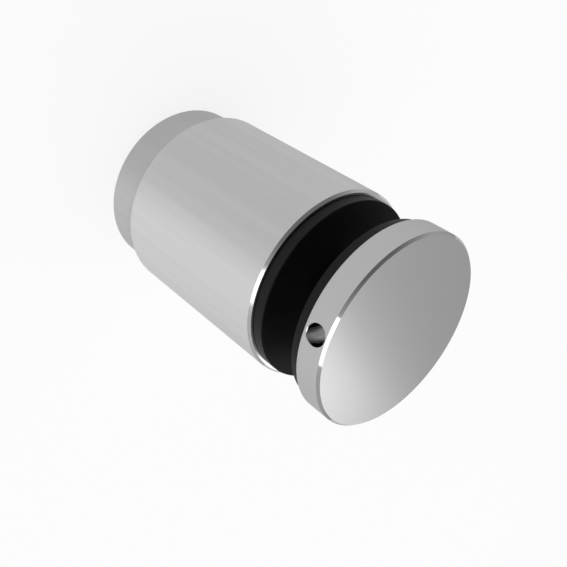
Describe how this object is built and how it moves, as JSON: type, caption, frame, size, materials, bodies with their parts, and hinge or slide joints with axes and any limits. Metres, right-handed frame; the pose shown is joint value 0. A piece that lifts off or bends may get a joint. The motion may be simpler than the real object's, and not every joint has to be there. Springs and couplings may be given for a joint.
{
  "type": "adjustable glass standoff",
  "caption": "Round steel point fixing that clamps a glass pane between two rubber gaskets and holds it off a wall, with a screw-adjusted distance.",
  "frame": {"origin": "centre of the wall base's rear face, where the fixing's axis meets the wall", "axes": "+Z along the axis from the wall to the cap; -Y towards the cap's tightening hole"},
  "size_m": [0.05, 0.05, 0.085],
  "materials": {
    "cap_steel": "satin",
    "sleeve_steel": "satin",
    "base_steel": "satin",
    "screw_steel": "satin",
    "gasket_rubber": "matt black",
    "bush_plastic": "natural nylon"
  },
  "bodies": {
    "base": {"wall_base": "base_steel"},
    "pane_side": {"rear_gasket": "gasket_rubber", "glass_bush": "bush_plastic"},
    "sleeve": {"body_sleeve": "sleeve_steel", "locking_screw": "screw_steel"},
    "clamp_side": {"front_gasket": "gasket_rubber"},
    "cap": {"front_cap": "cap_steel", "clamp_stud": "screw_steel"}
  },
  "joints": [
    {"name": "distance_slide", "type": "slide", "parent": "base", "child": "pane_side", "axis": [0, 0, 1], "range_m": [-0.01125, 0.0015]},
    {"name": "sleeve_turn", "type": "hinge", "parent": "pane_side", "child": "sleeve", "pos_m": [0, 0, 0], "axis": [0, 0, 1], "range_deg": [-2700, 360]},
    {"name": "clamp_slide", "type": "slide", "parent": "sleeve", "child": "clamp_side", "axis": [0, 0, 1], "range_m": [0, 0.012]},
    {"name": "cap_turn", "type": "hinge", "parent": "clamp_side", "child": "cap", "pos_m": [0, 0, 0], "axis": [0, 0, 1], "range_deg": [0, 2880]}
  ],
  "couplings": [
    {"joint": "distance_slide", "follows": "sleeve_turn", "m_per_rad": 0.00023873},
    {"joint": "clamp_slide", "follows": "cap_turn", "m_per_rad": 0.00023873}
  ]
}
